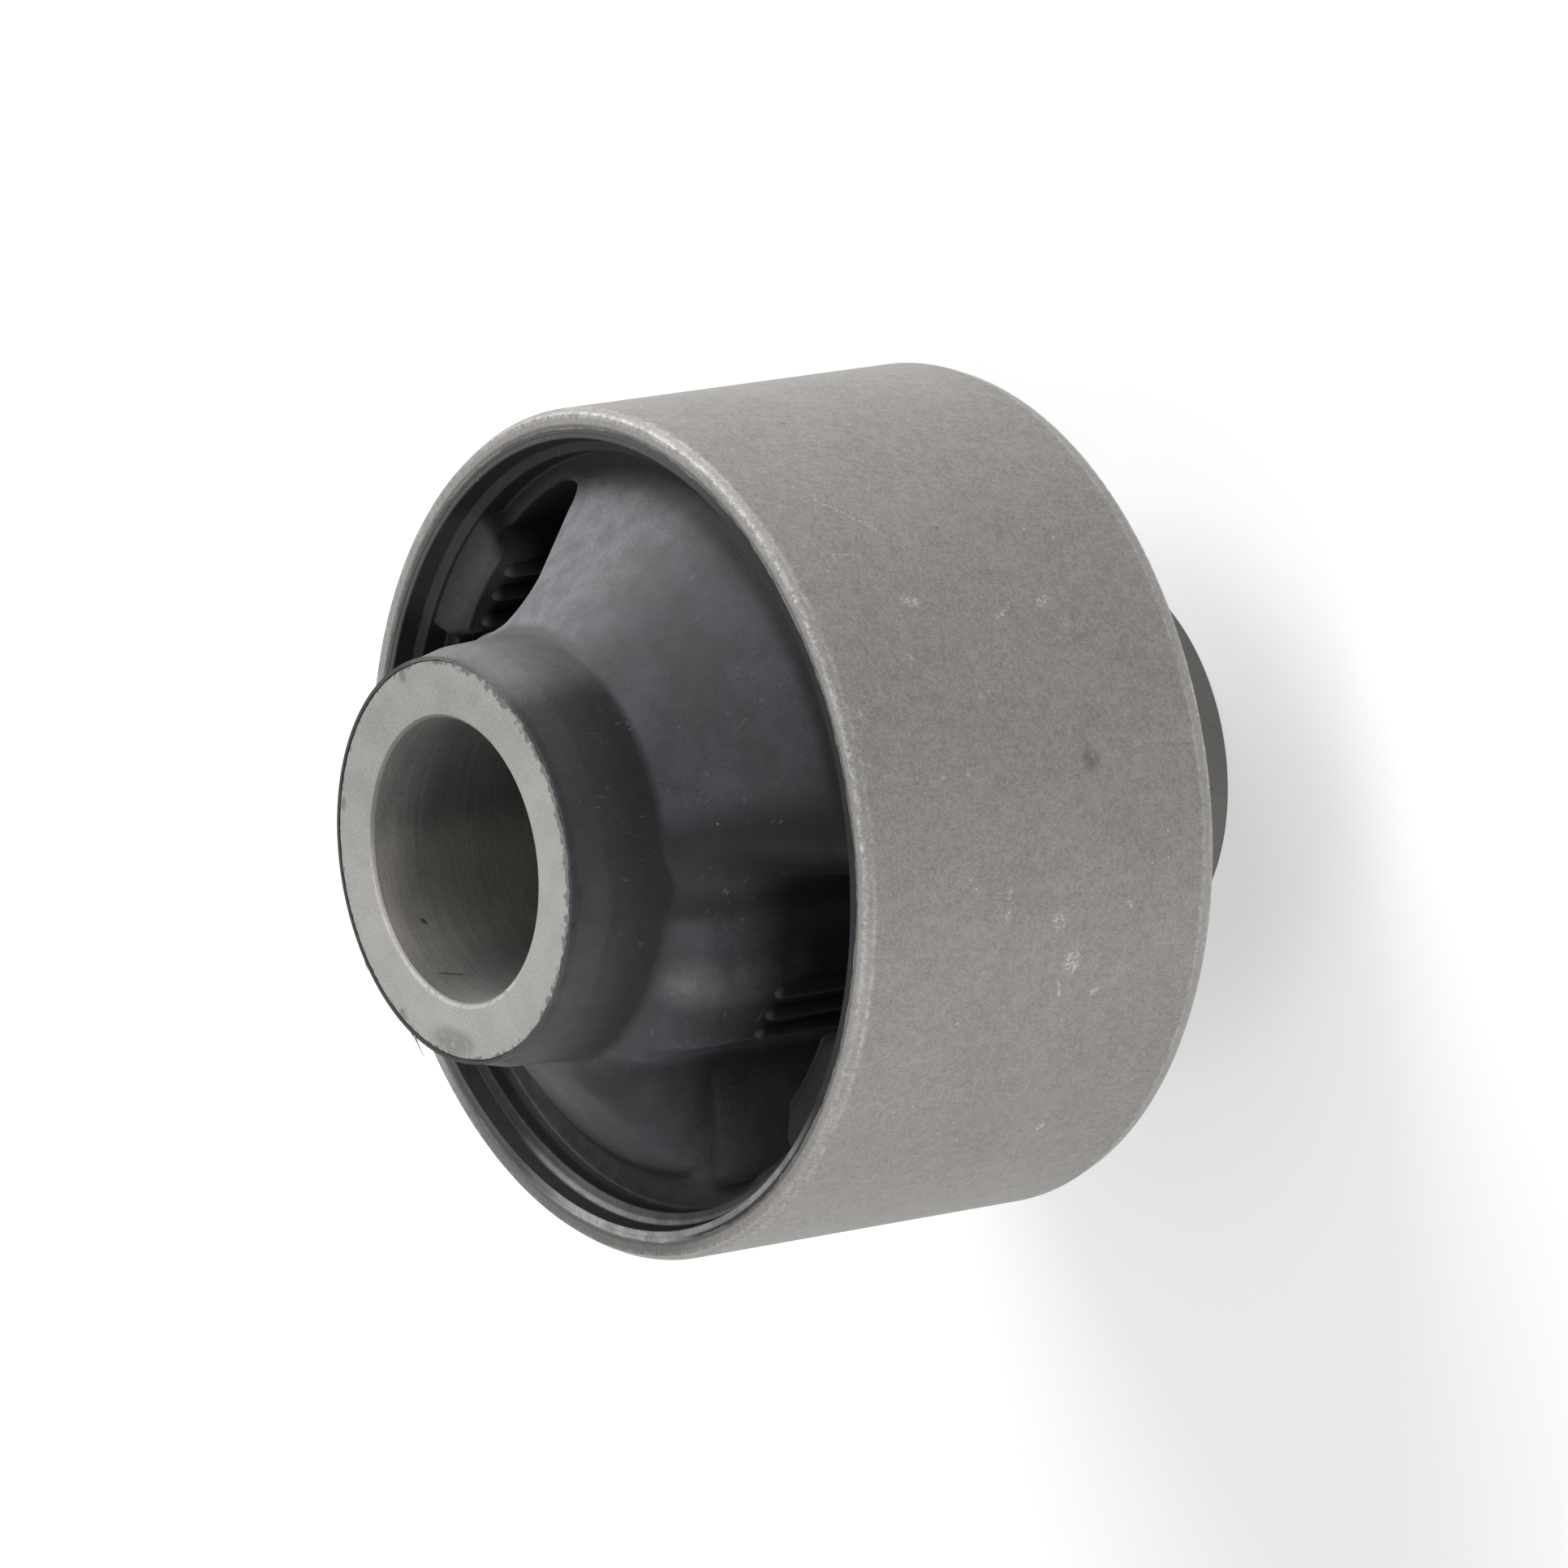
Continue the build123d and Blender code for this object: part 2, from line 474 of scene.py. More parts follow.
def ragged(count, seed, waves):
    """Uneven line round a ring, from 0 to 1: waves holds pairs of (waves per turn, size)."""
    angles = np.arange(count) * 2 * math.pi / count
    source = np.random.default_rng(seed)
    share = np.full(count, 0.35)
    for number, size in waves:
        share = share + size * np.sin(number * angles + source.uniform(0, 2 * math.pi))
    return np.clip(share, 0, 1)


def make_rim_flash():
    waves = ((5, 0.2), (13, 0.2), (37, 0.12), (83, 0.1), (151, 0.08))
    reach = bond_radius + 0.22 * ragged(flash_segments, 7, waves)
    return make_flash("rim_flash", bond_radius - 0.2, reach, half_outer, (1, -1))


def make_end_flash():
    """Torn edge of the skin. It creeps onto the steel's face on one side."""
    waves = ((5, 0.15), (17, 0.2), (41, 0.16), (97, 0.14), (163, 0.1))
    share = ragged(flash_segments, 11, waves)
    angles = np.radians(np.arange(flash_segments) * 360 / flash_segments)
    creep = smooth(np.cos(angles - math.radians(60)), 0.1, 0.8)
    reach = inner_radius + 0.02 - share * (0.06 + 0.3 * creep)
    return make_flash("end_flash", skin_tip + 0.05, reach, half_inner, (1,))


def make_hairs():
    """Fine hairs of torn rubber at the near end, as tapered tubes."""
    around, steps = 6, 8
    up = np.array([0, 0, 1])
    vertices, faces = [], []
    for path in hair_paths:
        first, middle, last = (np.array(polar(*point)) for point in path)
        base = len(vertices)
        side = np.cross(last - first, up)
        side = side / np.linalg.norm(side)
        for share in np.linspace(0, 1, steps):
            centre = first * (1 - share) ** 2 + middle * 2 * share * (1 - share) + last * share**2
            spread = hair_thickness * (1 - 0.8 * share)
            for k in range(around):
                a = 2 * math.pi * k / around
                vertices.append(centre + (side * math.cos(a) + up * math.sin(a)) * spread)
        for ring in range(steps - 1):
            for k in range(around):
                a = base + ring * around
                k2 = (k + 1) % around
                faces.append((a + k, a + k2, a + around + k2, a + around + k))
        faces.append(tuple(base + k for k in range(around))[::-1])
        faces.append(tuple(base + (steps - 1) * around + k for k in range(around)))
    return make_object("flash_hairs", vertices, faces, sharp_angle=80)


# Shader nodes
def add_node(tree, kind, inputs=None, **settings):
    """Shader node with its settings, and a value or a link for each named input."""
    made = tree.nodes.new(kind)
    for name, value in settings.items():
        setattr(made, name, value)
    for name, value in (inputs or {}).items():
        if isinstance(value, bpy.types.NodeSocket):
            tree.links.new(value, made.inputs[name])
        else:
            made.inputs[name].default_value = value
    return made


def scalar(tree, operation, first, second=0.0):
    return add_node(tree, "ShaderNodeMath", {0: first, 1: second}, operation=operation).outputs[0]


def combined(tree, operation, values):
    result = values[0]
    for value in values[1:]:
        result = scalar(tree, operation, result, value)
    return result


def product(tree, *values):
    return combined(tree, "MULTIPLY", values)


def total(tree, *values):
    return combined(tree, "ADD", values)


def highest(tree, *values):
    return combined(tree, "MAXIMUM", values)


def step(tree, value, low, high, low_share=0.0, high_share=1.0):
    """Soft step of a value between low and high."""
    inputs = {"Value": value, "From Min": low, "From Max": high, "To Min": low_share, "To Max": high_share}
    return add_node(tree, "ShaderNodeMapRange", inputs, interpolation_type="SMOOTHSTEP").outputs["Result"]


def vector(tree, operation, *values):
    return add_node(tree, "ShaderNodeVectorMath", dict(enumerate(values)), operation=operation).outputs


def scaled(tree, places, factor):
    inputs = {0: places, "Scale": factor}
    return add_node(tree, "ShaderNodeVectorMath", inputs, operation="SCALE").outputs["Vector"]


def noise(tree, places, scale, detail):
    inputs = {"Vector": places, "Scale": scale, "Detail": detail}
    return add_node(tree, "ShaderNodeTexNoise", inputs).outputs[0]


def flecks(tree, places, scale, size, share):
    """Small spots, in this share of the cells of a cellular pattern."""
    cells = add_node(tree, "ShaderNodeTexVoronoi", {"Vector": places, "Scale": scale})
    pick = add_node(tree, "ShaderNodeSeparateXYZ", {0: cells.outputs["Color"]})
    chosen = step(tree, pick.outputs["X"], 1 - share, 1 - share + 0.02)
    own_size = scalar(tree, "MULTIPLY", pick.outputs["Y"], size)
    inside = scalar(tree, "SUBTRACT", own_size, cells.outputs["Distance"])
    return product(tree, chosen, step(tree, inside, 0.0, size * 0.3))


def ellipse(tree, plane, place, turn, sizes, edge, core):
    """Elliptical mark in a plane, from 0 at its edge to 1 at its core, both as shares of its half sizes."""
    local = add_node(tree, "ShaderNodeMapping", {
        "Vector": plane,
        "Location": place,
        "Rotation": (0, 0, math.radians(turn)),
        "Scale": (sizes[0] / 2, sizes[1] / 2, 1),
    }, vector_type="TEXTURE").outputs[0]
    return step(tree, vector(tree, "LENGTH", local)["Value"], edge, core)


def marks(tree, flat, roll_radius, rows, soft=0.5):
    """Highest of some marks on a cylinder. A row holds angle, height, length, width and turn."""
    return highest(tree, *(
        ellipse(tree, flat, (math.radians(angle) * roll_radius, height, 0), turn, sizes, 1.0, 1.0 - soft)
        for angle, height, *sizes, turn in rows
    ))


def tinted(tree, colour, share, other):
    """Colour that turns to another one by a share."""
    made = add_node(tree, "ShaderNodeMix", {0: share}, data_type="RGBA")
    for socket, value in ((made.inputs[6], colour), (made.inputs[7], other)):
        if isinstance(value, bpy.types.NodeSocket):
            tree.links.new(value, socket)
        else:
            socket.default_value = (*value, 1)
    return made.outputs[2]


def layered(tree, colour, layers):
    """Colour under layers, from the lowest up. Each is where it lies, how strongly, and its colour."""
    for place, strength, other in layers:
        colour = tinted(tree, colour, product(tree, place, strength), other)
    return colour


class Surface:
    """Material with the model's coordinates in millimetres, and masks made from them."""

    def __init__(self, name, roughness, metallic=0.0, specular=0.5):
        self.material = bpy.data.materials.new(name)
        self.material.use_nodes = True
        self.tree = tree = self.material.node_tree
        self.shader = tree.nodes["Principled BSDF"]
        self.shader.inputs["Metallic"].default_value = metallic
        self.shader.inputs["Specular IOR Level"].default_value = specular
        self.roughness = roughness
        self.places = scaled(tree, add_node(tree, "ShaderNodeTexCoord").outputs["Object"], 1 / MM)
        self.x, self.y, self.height = add_node(tree, "ShaderNodeSeparateXYZ", {0: self.places}).outputs
        self.across = scalar(tree, "ABSOLUTE", self.height)
        self.plan = add_node(tree, "ShaderNodeCombineXYZ", {"X": self.x, "Y": self.y}).outputs[0]
        self.radius = vector(tree, "LENGTH", self.plan)["Value"]

    def unrolled(self, roll_radius):
        """Arc and height on a cylinder, with a ripple that makes the marks on it uneven."""
        tree = self.tree
        arc = scalar(tree, "MULTIPLY", scalar(tree, "ARCTAN2", self.y, self.x), roll_radius)
        flat = add_node(tree, "ShaderNodeCombineXYZ", {"X": arc, "Y": self.height}).outputs[0]
        ripple = add_node(tree, "ShaderNodeTexNoise", {"Vector": self.places, "Scale": 1.6, "Detail": 3.0})
        shift = vector(tree, "SUBTRACT", ripple.outputs["Color"], (0.5, 0.5, 0.5))["Vector"]
        return vector(tree, "ADD", flat, scaled(tree, shift, 0.7))["Vector"]

    def side(self, angle, low, high, low_share=0.0, high_share=1.0):
        """Soft step over the cosine between a place's direction from the axis and this one."""
        unit = vector(self.tree, "NORMALIZE", self.plan)["Vector"]
        cosine = vector(self.tree, "DOT_PRODUCT", unit, polar(1, angle))["Value"]
        return step(self.tree, cosine, low, high, low_share, high_share)

    def ring(self, low, high):
        """Soft step over the radius."""
        return step(self.tree, self.radius, low, high)

    def rise(self, low, high, low_share=0.0, high_share=1.0):
        """Soft step over the distance from the middle plane."""
        return step(self.tree, self.across, low, high, low_share, high_share)

    def edge(self, radius, height, width):
        """1 on a turned edge at this radius and height, 0 beyond its width."""
        tree = self.tree
        along = scalar(tree, "SUBTRACT", self.radius, radius)
        above = scalar(tree, "SUBTRACT", self.across, height)
        pair = add_node(tree, "ShaderNodeCombineXYZ", {"X": along, "Y": above}).outputs[0]
        return step(tree, vector(tree, "LENGTH", pair)["Value"], width, width * 0.2)

    def patch(self, angle, radius, length, width, edge, core):
        """Elliptical patch on the plan. Its length runs along the radius."""
        return ellipse(self.tree, self.plan, polar(radius, angle), angle, (length, width), edge, core)

    def finish(self, colour, tone, roughness_share, relief, depth):
        """Colour times tone, roughness between its two limits, and relief of a depth in millimetres."""
        tree = self.tree
        roughness = step(tree, roughness_share, 0.0, 1.0, *self.roughness)
        bump = add_node(tree, "ShaderNodeBump", {"Height": relief, "Strength": 1.0, "Distance": depth * MM})
        tree.links.new(scaled(tree, colour, tone), self.shader.inputs["Base Color"])
        tree.links.new(roughness, self.shader.inputs["Roughness"])
        tree.links.new(bump.outputs[0], self.shader.inputs["Normal"])
        return self.material


# Marks on the outer sleeve: angle, height, length, width and turn
pale_nicks = (
    (90.5, 7.4, 7.0, 0.22, 41),
    (83.8, 9.9, 2.3, 0.2, 90),
    (67.5, 7.9, 0.7, 0.4, 30),
    (75.4, 6.2, 2.0, 1.2, 60),
    (72.0, -1.0, 2.6, 0.6, 120),
    (72.6, -4.4, 0.8, 2.0, 0),
    (37.0, 6.1, 0.4, 1.2, 0),
    (34.5, 2.9, 0.9, 0.5, 0),
    (31.6, 3.0, 0.8, 0.7, 0),
    (29.6, -1.4, 1.6, 1.4, 0),
    (23.6, -2.9, 2.4, 1.8, 0),
    (19.6, -2.1, 2.0, 0.35, 17),
    (14.6, -3.0, 1.6, 0.35, 17),
    (18.6, -5.3, 0.6, 1.0, 0),
    (-4.6, -5.0, 1.0, 1.1, 0),
    (39.3, -10.9, 0.4, 1.2, 0),
    (30.4, -7.6, 1.0, 0.4, 30),
)
dark_nicks = (
    (86.0, 1.0, 0.35, 0.35, 0),
    (111.8, 5.2, 0.4, 0.7, 0),
    (50.8, 9.9, 0.3, 0.3, 0),
)
dark_smears = ((50.4, -4.8, 2.6, 2.1, 20),)
faint_smears = ((83.4, 1.6, 0.5, 5.0, 0), (67.0, -6.5, 1.2, 5.0, 15))
brown_smears = ((34.4, 4.6, 3.8, 0.9, 0),)
smear_soft = 0.9

# Marks in the bore: angle, height, length, width and turn
bore_lines = ((-78.5, 25.8, 3.4, 0.2, 105), (-107.0, 25.6, 0.7, 0.6, 0))

# Stains on the inner sleeve's face: angle, radius, length along the radius and width
face_stains = (
    (-55.0, 12.9, 2.5, 6.4),
    (-82.0, 13.6, 1.0, 1.4),
    (152.0, 13.5, 1.2, 1.0),
    (208.0, 13.6, 1.0, 1.2),
)


def outer_steel_finish():
    """Matt phosphated steel with grain, pale nicks, a few dark marks and worn edges, with painted light on
    the far lead and on one side.
    """
    made = Surface("outer_steel_finish", roughness=(0.5, 0.68), metallic=0.3)
    tree, places = made.tree, made.places
    flat = made.unrolled(outer_radius)
    grain = noise(tree, places, 7.5, 2.0)
    cloud = noise(tree, places, 0.16, 4.0)
    patchy = noise(tree, places, 0.9, 4.0)
    mottle = noise(tree, places, 2.6, 3.0)
    broken = step(tree, noise(tree, places, 4.6, 3.0), 0.44, 0.6)
    worn = step(tree, noise(tree, places, 1.7, 4.0), 0.4, 0.62)
    bright = step(tree, noise(tree, places, 4.5, 4.0), 0.46, 0.66)

    # Nicks and smears
    scuffs = product(tree, marks(tree, flat, outer_radius, pale_nicks), broken)
    scattered = product(tree, flecks(tree, places, 0.34, 0.11, 0.2), step(tree, grain, 0.35, 0.6))
    fine = flecks(tree, places, 0.9, 0.16, 0.2)
    brown = marks(tree, flat, outer_radius, brown_smears, smear_soft)
    dark = highest(
        tree,
        marks(tree, flat, outer_radius, dark_nicks),
        marks(tree, flat, outer_radius, dark_smears, smear_soft),
    )
    faint = highest(
        tree,
        marks(tree, flat, outer_radius, faint_smears, smear_soft),
        flecks(tree, places, 0.22, 0.12, 0.25),
    )

    # Edges
    rim_wear = made.edge(outer_radius - lead_depth, half_outer, 0.42)
    rim_face = product(tree, made.rise(half_outer - 0.08, half_outer - 0.02), made.ring(28.6, 28.8))
    lead = made.rise(half_outer - 0.7, half_outer - 0.55)
    # Painted light: the far lead chamfer is lighter, as if it caught light
    far_lead_painted_light = step(tree, made.height, -half_outer + lower_lead + 0.15, -half_outer + lower_lead - 0.1)
    seam = made.edge(bond_radius + 0.24, half_outer, 0.24)
    is_upper = step(tree, made.height, -0.1, 0.1)
    is_lower = scalar(tree, "SUBTRACT", 1.0, is_upper)
    shoulder_wear = total(
        tree,
        product(tree, made.edge(outer_radius, half_outer - upper_lead, 0.3), is_upper),
        product(tree, made.edge(outer_radius, half_outer - lower_lead, 0.3), is_lower),
    )
    low_side = made.side(-65, 0.78, 0.93)
    upper_side = made.side(95, -0.1, 0.9, 0.3, 1.0)

    tone = total(
        tree,
        step(tree, grain, 0.35, 0.65, 0.85, 1.15),
        step(tree, cloud, 0.3, 0.7, -0.035, 0.035),
        step(tree, patchy, 0.35, 0.7, -0.05, 0.05),
        step(tree, mottle, 0.35, 0.65, -0.08, 0.08),
        product(tree, rim_face, 0.1),
        product(tree, lead, 0.06),
        # painted light on the far lead chamfer
        product(tree, far_lead_painted_light, 0.25),
        # painted light: lighter on the side towards -12 degrees
        made.side(-12, 0.6, 0.85, 0.0, 0.12),
        product(tree, faint, -0.1),
    )
    colour = layered(tree, (0.263, 0.252, 0.237), [
        (brown, 0.35, (0.17, 0.13, 0.09)),
        (dark, 0.6, (0.09, 0.085, 0.08)),
        (product(tree, rim_face, low_side), 0.7, (0.08, 0.077, 0.072)),
        (seam, 0.7, (0.07, 0.068, 0.065)),
        (scuffs, 0.5, (0.6, 0.59, 0.57)),
        (highest(tree, scattered, fine), 0.45, (0.55, 0.54, 0.52)),
        (product(tree, shoulder_wear, worn), 0.3, (0.5, 0.49, 0.47)),
        (product(tree, rim_wear, worn, upper_side), 0.5, (0.5, 0.49, 0.47)),
        (product(tree, rim_wear, bright, upper_side), 0.35, (0.7, 0.7, 0.68)),
    ])
    relief = total(tree, grain, product(tree, highest(tree, scuffs, scattered), -0.6))
    return made.finish(colour, tone, grain, relief, 0.012)


def inner_steel_finish():
    """Turned steel end faces, smudged and stained, round a darker bore, with painted light on one side of
    the bore and painted shade on one side of the face.
    """
    made = Surface("inner_steel_finish", roughness=(0.48, 0.66), metallic=0.3)
    tree, places = made.tree, made.places
    grain = noise(tree, places, 4.6, 2.0)
    cloud = noise(tree, places, 0.35, 4.0)
    turned = add_node(tree, "ShaderNodeMapping", {"Vector": places, "Scale": (0.15, 0.15, 5.0)}).outputs[0]
    grooves = noise(tree, turned, 1.0, 3.0)

    # Stains and specks on the end face, and the smudge beside the torn skin
    outside = made.ring(inner_radius - 0.05, inner_radius - 0.01)
    blotched = step(tree, noise(tree, places, 1.3, 4.0), 0.15, 0.5)
    stains = highest(tree, *(made.patch(*stain, 1.1, 0.4) for stain in face_stains))
    specks = flecks(tree, places, 0.55, 0.12, 0.18)
    uneven = step(tree, noise(tree, places, 1.8, 4.0), 0.3, 0.7, -0.3, 0.3)
    creep = total(tree, made.radius, uneven, made.side(62, 0.2, 0.9, -0.5, 0.0))
    smudged = step(tree, creep, inner_radius - 0.65, inner_radius - 0.45)

    # Bore and its edge
    bore = made.ring(bore_radius + 0.26, bore_radius + 0.18)
    # Painted light: the bore is lighter on its side towards -120 degrees
    bore_painted_light = product(tree, bore, made.side(-120, 0.84, 0.99))
    bore_end = product(tree, bore, made.side(-68, 0.92, 1.0))
    line = marks(tree, made.unrolled(bore_radius), bore_radius, bore_lines)
    edge = made.edge(bore_radius + 0.26, half_inner, 0.2)
    worn = product(tree, made.side(-68, 0.1, 0.7), step(tree, noise(tree, places, 2.2, 3.0), 0.3, 0.5))

    tone = total(
        tree,
        step(tree, grain, 0.3, 0.7, 0.9, 1.08),
        step(tree, cloud, 0.3, 0.7, -0.06, 0.06),
        product(tree, bore, step(tree, grooves, 0.3, 0.7, -0.09, 0.09)),
        # painted shade: darker on the side towards 150 degrees, a little lighter opposite
        made.side(150, -0.2, 0.9, 0.04, -0.12),
    )
    colour = layered(tree, (0.385, 0.373, 0.352), [
        (bore, 1.0, (0.22, 0.212, 0.2)),
        (bore_painted_light, 0.75, (0.42, 0.4, 0.375)),
        (bore_end, 0.5, (0.12, 0.115, 0.11)),
        (smudged, 0.75, (0.1, 0.097, 0.09)),
        (outside, 1.0, (0.17, 0.165, 0.155)),
        (product(tree, stains, blotched), 0.7, (0.17, 0.165, 0.16)),
        (specks, 0.4, (0.16, 0.155, 0.15)),
        (line, 0.8, (0.04, 0.04, 0.04)),
        (product(tree, edge, worn), 0.6, (0.62, 0.61, 0.58)),
    ])
    relief = total(tree, grain, product(tree, bore, grooves))
    return made.finish(colour, tone, grain, relief, 0.015)


def web_layers(made, wall_painted_light, deep):
    """Cones of the webs, with painted shade beside the voids, at the bump's side and near the rim, and
    painted light on the wall of one void.
    """
    tree, patch = made.tree, made.patch
    # Painted shade along the fold beside the void at 0 degrees, on the upper web
    in_void = scalar(tree, "SUBTRACT", made.x, scalar(tree, "ABSOLUTE", made.y))
    beside = product(tree, step(tree, in_void, -4.0, 1.5), step(tree, in_void, 9.0, 6.0))
    shade = product(tree, beside, step(tree, made.y, -7.0, 0.0))
    bump_side_painted_shade = product(tree, made.side(10, 0.93, 0.98), made.ring(16.3, 17.0), made.rise(21.4, 17.5))
    rim_side_painted_shade = product(tree, made.ring(22.5, 25.5), made.side(140, 0.97, 0.6))
    wall_deep = highest(tree, deep, made.rise(14.5, 11.5, 0.0, 0.5))
    return [
        (shade, 0.6, (0.008, 0.009, 0.010)),
        # painted shade: dark patches in the folds by the voids and under the bump and boss
        (patch(45, 20.8, 13.0, 6.0, 1.4, 0.3), 0.75, (0.006, 0.006, 0.007)),
        (patch(41, 22.8, 9.5, 6.2, 1.3, 0.5), 0.9, (0.005, 0.005, 0.006)),
        (patch(31, 18.3, 4.4, 4.4, 1.3, 0.3), 0.5, (0.012, 0.012, 0.013)),
        (patch(-42, 16.9, 3.2, 6.4, 1.4, 0.1), 0.5, (0.014, 0.014, 0.015)),
        (patch(-40, 18.8, 5.0, 5.0, 1.4, 0.1), 0.3, (0.014, 0.014, 0.015)),
        (bump_side_painted_shade, 0.55, (0.012, 0.012, 0.013)),
        (rim_side_painted_shade, 0.4, (0.024, 0.025, 0.027)),
        # painted light on the deep wall of one void
        (product(tree, wall_painted_light, wall_deep), 0.9, (0.24, 0.245, 0.258)),
    ]


def skin_layer(made):
    """Skin over the inner sleeve, darkest at the shoulder, with painted shade on the side towards 60 degrees
    and bloom with painted sheen on its top.
    """
    tree = made.tree
    end_side = made.rise(21.5, 28.0)
    # Bloom and painted sheen on the top of the skin
    top_bloom_and_sheen = product(tree, made.side(122, 0.84, 0.98), step(tree, end_side, 0.0, 1.0, 0.42, 0.7))
    skin = layered(tree, (0.018, 0.019, 0.021), [
        (end_side, 1.0, (0.065, 0.066, 0.068)),
        # painted shade on the side towards 60 degrees
        (made.side(60, 0.55, 0.95, 0.0, 0.5), 1.0, (0.014, 0.015, 0.017)),
        (top_bloom_and_sheen, 1.0, (0.18, 0.181, 0.183)),
    ])
    return (made.ring(15.4, 14.9), 1.0, skin)


def mouth_layers(made, wall_painted_light, deep, blotchy):
    """Lining and its stepped mouth: the lip, the ledge with its bead, and the flat below. The mouth has
    painted shade, darkest on the deep lining wall and beside one void, and painted light beside the other.
    """
    tree = made.tree
    above_ledge = made.rise(lower_ledge + 0.3, lower_ledge + 0.8)
    past_web = made.ring(web_edge_radius, web_edge_radius + 0.4)
    # Painted shade over the lining and the mouth, darkest on the deep lining wall; painted light beside the
    # void at 180 degrees, painted shade beside the void at 0 degrees
    mouth = product(tree, made.ring(23.4, 24.2), highest(tree, above_ledge, past_web))
    outer_wall_painted_shade = product(tree, made.ring(22.5, 23.5), deep, step(tree, wall_painted_light, 0.2, 0.0))
    left_mouth_painted_light = product(tree, mouth, made.patch(180, 26.2, 5.0, 12.0, 1.1, 0.7))
    right_mouth_painted_shade = product(tree, mouth, made.patch(0, 26.2, 6.0, 15.0, 1.1, 0.7))

    lip = product(tree, made.rise(half_outer - 0.12, half_outer - 0.04), made.ring(27.0, 27.2))
    left_lip = product(tree, lip, made.side(195, -0.3, 0.25))
    chalked_lip = product(tree, lip, made.side(-38, 0.74, 0.95), blotchy)
    crack = product(tree, lip, made.ring(28.33, 28.4), made.side(-16, 0.9, 0.96))

    # Lighter on the low side of the upper ledge and at its outer edge, in blotches
    ledge = product(tree, made.ring(26.4, 26.7), made.rise(upper_ledge - 0.25, upper_ledge - 0.05))
    ledge = product(tree, ledge, made.rise(upper_ledge + 0.6, upper_ledge + 0.3))
    low_ledge = product(tree, ledge, made.side(-44, 0.75, 0.97))
    bead = product(tree, low_ledge, made.ring(27.2, 27.4), blotchy)
    flat = product(tree, made.ring(24.3, 25.3), made.rise(lower_ledge + 1.0, lower_ledge + 0.4))
    flat = product(tree, flat, made.side(-60, 0.55, 0.9), made.rise(lower_ledge - 1.5, lower_ledge - 0.5))
    return [
        (mouth, 0.9, (0.010, 0.011, 0.012)),
        (outer_wall_painted_shade, 0.9, (0.003, 0.003, 0.004)),
        (left_mouth_painted_light, 0.75, (0.062, 0.064, 0.068)),
        (right_mouth_painted_shade, 0.8, (0.003, 0.003, 0.004)),
        (lip, 0.5, (0.03, 0.031, 0.032)),
        (left_lip, 0.45, (0.16, 0.16, 0.16)),
        (chalked_lip, 0.9, (0.6, 0.6, 0.602)),
        (product(tree, low_ledge, blotchy), 0.85, (0.17, 0.171, 0.173)),
        (bead, 0.9, (0.5, 0.5, 0.5)),
        (crack, 0.9, (0.012, 0.012, 0.012)),
        (product(tree, flat, blotchy), 0.85, (0.062, 0.063, 0.065)),
    ]


def chalk_and_sheen(made, smear):
    """Powdery haze on the webs, thickest on one side, where it also stands in for painted sheen."""
    tree = made.tree
    powder_and_sheen = highest(
        tree,
        # chalk with painted sheen on the top side
        product(tree, made.side(140, 0.72, 1.0), made.ring(25.8, 23.8)),
        product(tree, made.patch(9, 16.6, 3.2, 4.4, 1.3, 0.0), 0.7),
        product(tree, made.patch(187, 16.9, 2.4, 3.4, 1.25, 0.2), 0.7),
        product(tree, made.patch(-112, 20.0, 8.0, 6.0, 1.6, 0.2), 0.6),
        product(tree, made.patch(-62, 18.0, 5.0, 4.0, 1.6, 0.2), 0.35),
    )
    powder_and_sheen = product(tree, powder_and_sheen, step(tree, smear, 0.2, 0.75, 0.78, 1.04), made.ring(15.0, 15.8))
    return product(tree, powder_and_sheen, made.rise(lower_ledge - 3.0, lower_ledge - 1.0))


